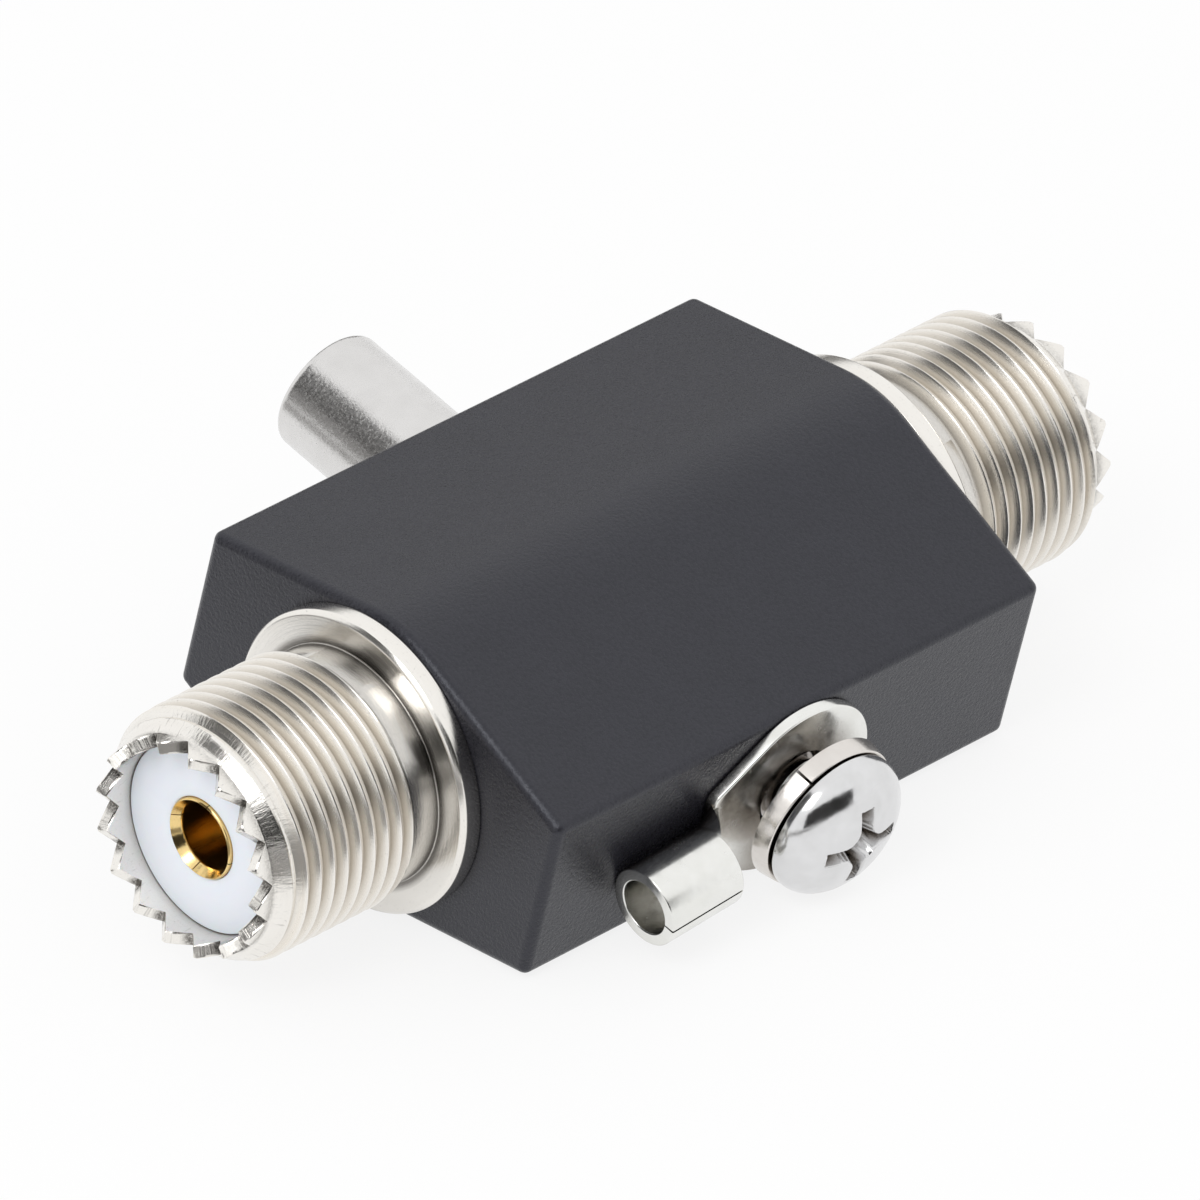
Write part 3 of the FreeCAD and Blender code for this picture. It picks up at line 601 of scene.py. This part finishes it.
def crimp_barrel():
    """The rolled barrel, open along its butt seam."""
    bend = math.pi - BARREL_SEAM / 2 / BARREL_MEAN
    turn = np.linspace(-bend, bend, BARREL_COLUMNS)
    profile = softened_loop([
        (BARREL_START, -BARREL_HALF), (BARREL_START, BARREL_HALF),
        (BARREL_END, BARREL_HALF), (BARREL_END, -BARREL_HALF),
    ], BARREL_LIP, 4)
    axis = LUG_BACK + BARREL_RADIUS
    return slit_skin([arc_over(x, axis, BARREL_MEAN + off, turn) for x, off in profile])


def earth_lug():
    ring, ring_end = lug_ring()
    return joined(ring, lug_neck(ring_end), crimp_barrel())


# Materials. Colours are linear, and a pair of them is the two ends of a faint clouding.


class Finish:
    """A procedural material with helpers for its nodes."""

    def __init__(self, name):
        self.material = bpy.data.materials.new(name)
        self.material.use_nodes = True
        self.tree = self.material.node_tree
        self.shader = self.tree.nodes["Principled BSDF"]

    def node(self, kind, **settings):
        made = self.tree.nodes.new(kind)
        for key, setting in settings.items():
            setattr(made, key, setting)
        return made

    def link(self, source, target):
        self.tree.links.new(source, target)

    def feed(self, socket, item):
        """Gives a socket a number, a colour or another node's output."""
        if isinstance(item, (int, float)):
            socket.default_value = item
        elif isinstance(item, tuple):
            socket.default_value = (*item, 1)
        else:
            self.link(item, socket)

    def value(self, socket, number):
        self.shader.inputs[socket].default_value = number

    def coordinates(self, place):
        """Coordinates in millimetres in a piece's own frame."""
        source = self.node("ShaderNodeTexCoord")
        mapping = self.node("ShaderNodeMapping", vector_type="TEXTURE")
        location, turn, _ = place.decompose()
        mapping.inputs["Location"].default_value = location
        mapping.inputs["Rotation"].default_value = turn.to_euler()
        mapping.inputs["Scale"].default_value = (MM, MM, MM)
        self.link(source.outputs["Object"], mapping.inputs["Vector"])
        return mapping.outputs["Vector"]

    def math(self, operation, *items):
        made = self.node("ShaderNodeMath", operation=operation)
        for socket, item in zip(made.inputs, items):
            self.feed(socket, item)
        return made.outputs[0]

    def round_axis(self, place, axis):
        """(along, radius, turn) about the X or Y axis of a frame."""
        split = self.node("ShaderNodeSeparateXYZ")
        self.link(self.coordinates(place), split.inputs[0])
        along, first, second = {"X": (0, 1, 2), "Y": (1, 2, 0)}[axis]
        one, two = split.outputs[first], split.outputs[second]
        squares = self.math(
            "ADD", self.math("MULTIPLY", one, one), self.math("MULTIPLY", two, two),
        )
        return split.outputs[along], self.math("SQRT", squares), self.math("ARCTAN2", two, one)

    def vector(self, *parts):
        made = self.node("ShaderNodeCombineXYZ")
        for socket, part in zip(made.inputs, parts):
            self.feed(socket, part)
        return made.outputs[0]

    def noise(self, vector, scale, detail=3.0, rough=0.55):
        made = self.node("ShaderNodeTexNoise")
        made.inputs["Scale"].default_value = scale
        made.inputs["Detail"].default_value = detail
        made.inputs["Roughness"].default_value = rough
        self.link(vector, made.inputs["Vector"])
        return made.outputs["Fac"]

    def rings(self, along, radius, turn):
        """Noise drawn out round the axis into fine turning marks."""
        drawn_out = self.math("MULTIPLY", turn, 0.12)
        return self.noise(self.vector(along, radius, drawn_out), 14, 2, 0.7)

    def crevice(self, reach):
        """From nothing in the open to one deep in a corner or recess. reach is in millimetres."""
        made = self.node("ShaderNodeAmbientOcclusion", samples=6)
        made.inputs["Distance"].default_value = reach * MM
        return self.math("SUBTRACT", 1.0, made.outputs["AO"])

    def ramp(self, factor, *stops):
        """A colour ramp through (position, colour) stops. A single number is grey."""
        made = self.node("ShaderNodeValToRGB")
        elements = made.color_ramp.elements
        while len(elements) < len(stops):
            elements.new(0.5)
        for element, (position, colour) in zip(elements, stops):
            element.position = position
            grey = isinstance(colour, (int, float))
            element.color = (colour, colour, colour, 1) if grey else (*colour, 1)
        self.link(factor, made.inputs[0])
        return made.outputs["Color"]

    def fade(self, distance, span, *stops):
        """A ramp through (millimetres, value) stops, none of them past span."""
        positions = [(stop / span, colour) for stop, colour in stops]
        return self.ramp(self.math("DIVIDE", distance, span), *positions)

    def mix(self, factor, first, second):
        made = self.node("ShaderNodeMix", data_type="RGBA")
        for index, item in ((0, factor), (6, first), (7, second)):
            self.feed(made.inputs[index], item)
        return made.outputs[2]

    def bump(self, height, distance, strength=1.0, below=None):
        """A bump of a height map. distance is in millimetres."""
        made = self.node("ShaderNodeBump")
        made.inputs["Strength"].default_value = strength
        made.inputs["Distance"].default_value = distance * MM
        self.link(height, made.inputs["Height"])
        if below:
            self.link(below, made.inputs["Normal"])
        return made.outputs["Normal"]

    def shown_white(self, share):
        """Part white to the camera, to reflections and through glass. The rest keeps shadows."""
        path = self.node("ShaderNodeLightPath")
        shown = path.outputs["Is Camera Ray"]
        for kind in ("Is Glossy Ray", "Is Transmission Ray"):
            shown = self.math("MAXIMUM", shown, path.outputs[kind])
        white = self.node("ShaderNodeEmission")
        blend = self.node("ShaderNodeMixShader")
        output = next(node for node in self.tree.nodes if node.type == "OUTPUT_MATERIAL")
        self.link(self.math("MULTIPLY", shown, share), blend.inputs[0])
        self.link(self.shader.outputs[0], blend.inputs[1])
        self.link(white.outputs[0], blend.inputs[2])
        self.link(blend.outputs[0], output.inputs["Surface"])

    def colour(self, socket):
        self.link(socket, self.shader.inputs["Base Color"])

    def roughness(self, socket):
        self.link(socket, self.shader.inputs["Roughness"])

    def normal(self, socket):
        self.link(socket, self.shader.inputs["Normal"])


COAT_TONES = ((0.018, 0.0175, 0.022), (0.024, 0.0235, 0.030))
COAT_SPECK = (0.006, 0.006, 0.008)
COAT_TINT = (0.88, 0.91, 1.0, 1.0)


def powder_coat(place):
    """Satin black powder coat with a fine orange peel and darker specks."""
    finish = Finish("black_powder_coat")
    spot = finish.coordinates(place)
    grain = finish.noise(spot, 4.2, 4, 0.6)
    cloud = finish.noise(spot, 0.35, 2)
    specks = finish.ramp(grain, (0.36, 0.35), (0.56, 0.0))
    finish.colour(finish.mix(specks, finish.mix(cloud, *COAT_TONES), COAT_SPECK))
    finish.roughness(finish.ramp(grain, (0.3, 0.20), (0.7, 0.36)))
    fine = finish.bump(finish.noise(spot, 9, 2), 0.018, 0.6)
    finish.normal(finish.bump(grain, 0.06, 0.7, fine))
    finish.value("Specular IOR Level", 0.48)
    finish.value("Specular Tint", COAT_TINT)
    return finish.material


def turned_metal(name, place, axis, light, dark, rough, streak=1.0):
    """Turned metal: rings round its axis, faint clouding and a fine grain.

    streak is the rings' strength.
    """
    finish = Finish(name)
    along, radius, turn = finish.round_axis(place, axis)
    rings = finish.rings(along, radius, turn)
    cloud = finish.noise(finish.vector(along, radius, turn), 0.8, 3)
    grain = finish.noise(finish.coordinates(place), 6, 3, 0.7)
    finish.colour(finish.mix(cloud, dark, light))
    finish.roughness(finish.ramp(rings, (0.3, rough * 0.8), (0.7, rough * 1.35)))
    finish.normal(finish.bump(rings, 0.008 * streak, 0.6, finish.bump(grain, 0.006, 0.6)))
    finish.value("Metallic", 1.0)
    return finish.material


# A lit and a shaded copy of the nickel: the shaded one is painted shade in the thread's valleys
NICKEL_LIT = ((0.84, 0.81, 0.76), (0.94, 0.92, 0.88))
NICKEL_SHADED = ((0.82, 0.77, 0.69), (0.92, 0.87, 0.79))
VALLEY_ROUGHNESS = (0.29, 0.29, 0.29)
CHATTER_TONE = (0.22, 0.20, 0.18)
SPOT_TONE = (0.30, 0.27, 0.24)
# Colours of painted shade: in crevices, in the corner of the neck and flange, and on the crown's notch flanks
CREVICE_SHADE_TONE = (0.16, 0.13, 0.10)
NECK_SHADE_TONE = (0.10, 0.09, 0.08)
NOTCH_SHADE_TONE = (0.11, 0.10, 0.09)

# How far the nickel's ramps reach along a port's axis and out from it, in millimetres
ALONG_SPAN = 40
RADIUS_SPAN = 10


def port_nickel(name, place):
    """Bright nickel over turned brass: rings, rougher valleys with painted shade, painted highlights along the
    crests, chatter marks on the nose.
    """
    finish = Finish(name)
    along, radius, turn = finish.round_axis(place, "X")
    rings = finish.rings(along, radius, turn)
    cloud = finish.noise(finish.vector(along, radius, turn), 0.9, 3)
    spots = finish.noise(finish.coordinates(place), 7, 3, 0.7)

    # The nickel keeps its lit tone on the nose, on the crests and behind the thread, and the crests stand out as a
    # painted highlight; the thread's valleys, also rougher, get painted shade, darker and warmer
    nose = finish.fade(along, ALONG_SPAN, (31.9, 0.0), (32.3, 1.0))
    crest_highlight = finish.fade(radius, RADIUS_SPAN, (7.68, 0.0), (7.91, 1.0))
    behind = finish.fade(along, ALONG_SPAN, (23.0, 1.0), (23.3, 0.0))
    lit_and_polished = finish.math("MAXIMUM", finish.math("MAXIMUM", nose, crest_highlight), behind)
    tone = finish.mix(lit_and_polished, finish.mix(cloud, *NICKEL_SHADED), finish.mix(cloud, *NICKEL_LIT))

    # Chatter marks across the nose, and small dark spots all over
    stretched = finish.vector(
        finish.math("MULTIPLY", along, 0.35), 0.0, finish.math("MULTIPLY", turn, 9),
    )
    chatter = finish.noise(stretched, 3.2, 3, 0.65)
    marks = finish.math("MULTIPLY", finish.ramp(chatter, (0.60, 0.0), (0.70, 1.0)), nose)
    tone = finish.mix(finish.math("MULTIPLY", marks, 0.35), tone, CHATTER_TONE)
    tone = finish.mix(finish.ramp(spots, (0.28, 0.5), (0.36, 0.0)), tone, SPOT_TONE)

    # Painted shade in the valleys and in the corner of the neck and flange, and painted shade and dark reflections
    # in patches on the crown's notch flanks
    shade = finish.ramp(finish.crevice(1.2), (0.25, 0.0), (0.85, 0.8))
    tone = finish.mix(shade, tone, CREVICE_SHADE_TONE)
    corner = finish.ramp(finish.crevice(3.4), (0.14, 0.0), (0.40, 0.9))
    neck = finish.fade(along, ALONG_SPAN, (23.0, 1.0), (23.6, 0.0))
    inner = finish.fade(radius, RADIUS_SPAN, (7.6, 1.0), (8.0, 0.2))
    neck = finish.math("MULTIPLY", neck, inner)
    tone = finish.mix(finish.math("MULTIPLY", corner, neck), tone, NECK_SHADE_TONE)
    crown = finish.fade(along, ALONG_SPAN, (33.3, 0.0), (33.5, 1.0))
    notch = finish.ramp(finish.crevice(0.8), (0.03, 0.0), (0.14, 1.0))
    patches = finish.ramp(spots, (0.50, 1.0), (0.62, 0.35))
    notch = finish.math("MULTIPLY", finish.math("MULTIPLY", notch, crown), patches)
    finish.colour(finish.mix(notch, tone, NOTCH_SHADE_TONE))

    polish = finish.ramp(rings, (0.3, 0.14), (0.7, 0.24))
    finish.roughness(finish.mix(lit_and_polished, VALLEY_ROUGHNESS, polish))
    fine = finish.bump(spots, 0.008, 0.5)
    ripples = finish.bump(finish.math("MULTIPLY", chatter, nose), 0.05, 0.5, fine)
    finish.normal(finish.bump(rings, 0.008, 0.6, ripples))
    finish.value("Metallic", 1.0)
    return finish.material


# Colour of the painted shade in the corners and recesses of plated metal
SHADE_TONE = (0.13, 0.10, 0.07)


def rough_metal(name, place, light, dark, rough, scale=3.0, relief=0.01, reach=1.4):
    """Plated metal with an even, slightly clouded surface and painted shade in its corners.

    scale is how fine its grain is and relief the grain's height in millimetres. reach is how far
    from a corner the painted shade reaches.
    """
    finish = Finish(name)
    spot = finish.coordinates(place)
    cloud = finish.noise(spot, 0.7, 3)
    grain = finish.noise(spot, scale, 3, 0.65)
    # Painted shade near corners and in recesses, such as the screw's cross recess, the cap's foot and the lug
    # round the washer
    shade = finish.ramp(finish.crevice(reach), (0.3, 0.0), (0.75, 0.9))
    finish.colour(finish.mix(shade, finish.mix(cloud, dark, light), SHADE_TONE))
    finish.roughness(finish.ramp(grain, (0.3, rough * 0.75), (0.7, rough * 1.4)))
    finish.normal(finish.bump(grain, relief, 0.5))
    finish.value("Metallic", 1.0)
    return finish.material


def white_plastic(place):
    """Waxy white fluoropolymer with faint turning rings."""
    finish = Finish("waxy_white_plastic")
    along, radius, turn = finish.round_axis(place, "X")
    rings = finish.noise(finish.vector(along, radius, 0.0), 9, 2)
    cloud = finish.noise(finish.vector(along, radius, turn), 0.6, 2)
    finish.colour(finish.mix(cloud, (0.80, 0.83, 0.90), (0.86, 0.88, 0.94)))
    finish.roughness(finish.ramp(rings, (0.3, 0.38), (0.7, 0.5)))
    finish.normal(finish.bump(rings, 0.008, 0.4))
    finish.value("Subsurface Weight", 0.15)
    finish.value("Subsurface Scale", 2 * MM)
    return finish.material


def matt_ceramic(place):
    """Matt white alumina with a fine grain."""
    finish = Finish("matt_alumina")
    grain = finish.noise(finish.coordinates(place), 8, 4)
    finish.colour(finish.mix(grain, (0.78, 0.77, 0.72), (0.86, 0.85, 0.82)))
    finish.roughness(finish.ramp(grain, (0.3, 0.6), (0.7, 0.75)))
    finish.normal(finish.bump(grain, 0.01, 0.4))
    return finish.material


# Dress the solids that keep their own shape


def dress(node, material):
    solid = frame["nodes"][node]
    for slot in solid.material_slots:
        slot.material = material


dress("housing", powder_coat(BLOCK))
dress("tube_cap", rough_metal(
    "satin_nickel", BLOCK, light=(0.78, 0.77, 0.76), dark=(0.66, 0.65, 0.64), rough=0.22,
    scale=6.0, relief=0.02,
))
dress("centre_conductor", turned_metal(
    "plain_brass", BLOCK, "X", light=(0.80, 0.62, 0.30), dark=(0.66, 0.48, 0.20), rough=0.25,
))
electrode = turned_metal(
    "tube_electrode", BLOCK, "Y", light=(0.72, 0.72, 0.72), dark=(0.6, 0.6, 0.6), rough=0.3,
)
dress("gas_tube_inner_electrode", electrode)
dress("gas_tube_outer_electrode", electrode)
dress("gas_tube_ceramic", matt_ceramic(BLOCK))
dress("contact_spring", rough_metal(
    "drawn_spring_wire", BLOCK, light=(0.66, 0.66, 0.66), dark=(0.5, 0.5, 0.5), rough=0.28,
))

# Build the pieces that show more than their solids

for port, side in SIDES.items():
    nickel = port_nickel(f"{port}_nickel", side)
    gold = turned_metal(
        f"{port}_gold", side, "X", light=(0.95, 0.74, 0.36), dark=(0.80, 0.56, 0.22), rough=0.14,
        streak=0.6,
    )
    add_piece(f"{port}_shell_dressed", *port_shell(CROWN_TURNS[port]), side, "root", "nickel",
              f"{port}_shell", nickel)
    add_piece(f"{port}_insulator_dressed", *port_insulator(), side, "root", "white_plastic",
              f"{port}_insulator", white_plastic(side))
    add_piece(f"{port}_contact_dressed", *port_contact(), side, "root", "gold",
              f"{port}_contact", gold)

zinc = rough_metal(
    "bright_zinc", EARTH, light=(0.80, 0.80, 0.81), dark=(0.66, 0.66, 0.66), rough=0.15, scale=2.0,
)
washer_zinc = rough_metal(
    "washer_zinc", EARTH, light=(0.82, 0.79, 0.76), dark=(0.68, 0.64, 0.60), rough=0.2,
)
tin = rough_metal(
    "bright_tin", LUG, light=(0.90, 0.90, 0.88), dark=(0.78, 0.78, 0.74), rough=0.2,
    scale=1.2, relief=0.003, reach=3.2,
)
add_piece("earth_screw_dressed", *earth_screw(), EARTH, "screw", "bright_steel", "earth_screw",
          zinc, sharp=50)
add_piece("lock_washer_dressed", *lock_washer(), EARTH, "washer", "washer_steel", "lock_washer",
          washer_zinc)
add_piece("earth_lug_dressed", *earth_lug(), LUG, "lug", "tin", "earth_lug", tin, sharp=40)

# Floor, light and camera, in metres in the row frame


def flat_sheet(name, width, height, material):
    """A flat sheet round its own origin, not yet in the scene."""
    right, top = width / 2, height / 2
    corners = [(-right, -top, 0), (right, -top, 0), (right, top, 0), (-right, top, 0)]
    mesh = bpy.data.meshes.new(name)
    mesh.from_pydata(corners, [], [(0, 1, 2, 3)])
    mesh.materials.append(material)
    return bpy.data.objects.new(name, mesh)


def matt_finish(name, scale, dark, light):
    """A dull finish for the set, with the faintest clouding."""
    finish = Finish(name)
    spot = finish.node("ShaderNodeTexCoord").outputs["Object"]
    finish.colour(finish.mix(finish.noise(spot, scale, 2), dark, light))
    finish.value("Roughness", 0.9)
    finish.value("Specular IOR Level", 0.1)
    return finish


FLOOR_SIZE = 8.0
FLOOR_WHITE = 0.85
ROOM_LEVEL = 0.85


def pale_floor():
    """A wide plain floor that keeps the object's shadow."""
    finish = matt_finish("pale_floor", 3.0, (0.93, 0.93, 0.93), (0.95, 0.95, 0.95))
    finish.shown_white(FLOOR_WHITE)
    floor = flat_sheet("floor", FLOOR_SIZE, FLOOR_SIZE, finish.material)
    bpy.context.scene.collection.objects.link(floor)


def studio_world():
    """White to the camera, to reflections and through glass. A pale room lights the rest."""
    world = bpy.data.worlds.new("studio")
    world.use_nodes = True
    bpy.context.scene.world = world
    tree = world.node_tree
    background = tree.nodes["Background"]
    path = tree.nodes.new("ShaderNodeLightPath")
    shown = path.outputs["Is Camera Ray"]
    for kind in ("Is Glossy Ray", "Is Transmission Ray"):
        either = tree.nodes.new("ShaderNodeMath")
        either.operation = "MAXIMUM"
        tree.links.new(shown, either.inputs[0])
        tree.links.new(path.outputs[kind], either.inputs[1])
        shown = either.outputs[0]
    mix = tree.nodes.new("ShaderNodeMix")
    mix.data_type = "RGBA"
    tree.links.new(shown, mix.inputs[0])
    mix.inputs[6].default_value = (ROOM_LEVEL, ROOM_LEVEL, ROOM_LEVEL, 1)
    mix.inputs[7].default_value = (1, 1, 1, 1)
    tree.links.new(mix.outputs[2], background.inputs["Color"])
    background.inputs["Strength"].default_value = 1.0


def grey_screen(name, centre, facing, width, height, tone):
    """A grey screen beside the set. Only reflections show it, as dark bands on the metal."""
    finish = matt_finish(name, 4, (tone, tone, tone), (tone * 1.15, tone * 1.1, tone * 1.05))
    screen = flat_sheet(name, width, height, finish.material)
    turn = Vector(facing).to_track_quat("Z", "Y").to_matrix().to_4x4()
    screen.matrix_world = Matrix.Translation(centre) @ turn
    screen.visible_camera = False
    screen.visible_diffuse = False
    screen.visible_shadow = False
    bpy.context.scene.collection.objects.link(screen)


def standing_screen(name, toward, distance, width, height, tone):
    """A grey screen in a direction from the object, square to it."""
    away = Vector(toward).normalized()
    grey_screen(name, CENTRE + away * distance, away, width, height, tone)


def soft_lamp(name, toward, distance, size, watts):
    """A square soft lamp that faces the object from a direction."""
    lamp = bpy.data.lights.new(name, "AREA")
    lamp.size = size
    lamp.energy = watts
    holder = bpy.data.objects.new(name, lamp)
    away = Vector(toward).normalized()
    holder.location = CENTRE + away * distance
    holder.rotation_euler = away.to_track_quat("Z", "Y").to_euler()
    bpy.context.scene.collection.objects.link(holder)


# The photo's camera. The aim is in millimetres from the block's middle, across the picture.
CAMERA_DIRECTION = Vector((-0.6009, -0.6128, 0.5132))
CAMERA_DISTANCE = 1.17085
CAMERA_LENS = 606.75
CAMERA_SENSOR = 36
CAMERA_NEAR, CAMERA_FAR = 0.05, 20
AIM_RIGHT, AIM_UP = -0.598, 1.833


def photo_camera():
    """A long lens from the direction that the photo was taken from."""
    lens = bpy.data.cameras.new("photo_camera")
    lens.lens = CAMERA_LENS
    lens.sensor_width = CAMERA_SENSOR
    lens.clip_start = CAMERA_NEAR
    lens.clip_end = CAMERA_FAR
    holder = bpy.data.objects.new("photo_camera", lens)
    turn = CAMERA_DIRECTION.normalized().to_track_quat("Z", "Y")
    right, up = turn @ Vector((1, 0, 0)), turn @ Vector((0, 1, 0))
    aim = CENTRE + (right * AIM_RIGHT + up * AIM_UP) * MM
    holder.location = aim + CAMERA_DIRECTION.normalized() * CAMERA_DISTANCE
    holder.rotation_euler = turn.to_euler()
    bpy.context.scene.collection.objects.link(holder)
    bpy.context.scene.camera = holder


pale_floor()
studio_world()
standing_screen(
    "screen_high", toward=(-0.714, 0.345, 0.609), distance=0.8, width=0.44, height=0.60, tone=0.08,
)
standing_screen(
    "screen_low", toward=(-0.87, 0.48, 0.13), distance=0.8, width=0.42, height=0.29, tone=0.24,
)
standing_screen(
    "screen_back", toward=(0.6, 0.8, 0.06), distance=0.9, width=0.7, height=0.5, tone=0.20,
)
standing_screen(
    "screen_front", toward=(-0.32, -0.93, 0.22), distance=1.0, width=1.6, height=0.7, tone=0.03,
)
grey_screen(
    "card_left", centre=(-0.115, -0.02, 0.0003), facing=(0, 0, 1), width=0.14, height=0.24,
    tone=0.25,
)
soft_lamp("key_lamp", toward=(-0.7, -0.2, 0.8), distance=0.9, size=0.4, watts=2.0)
photo_camera()
bpy.context.scene.view_settings.view_transform = "Standard"
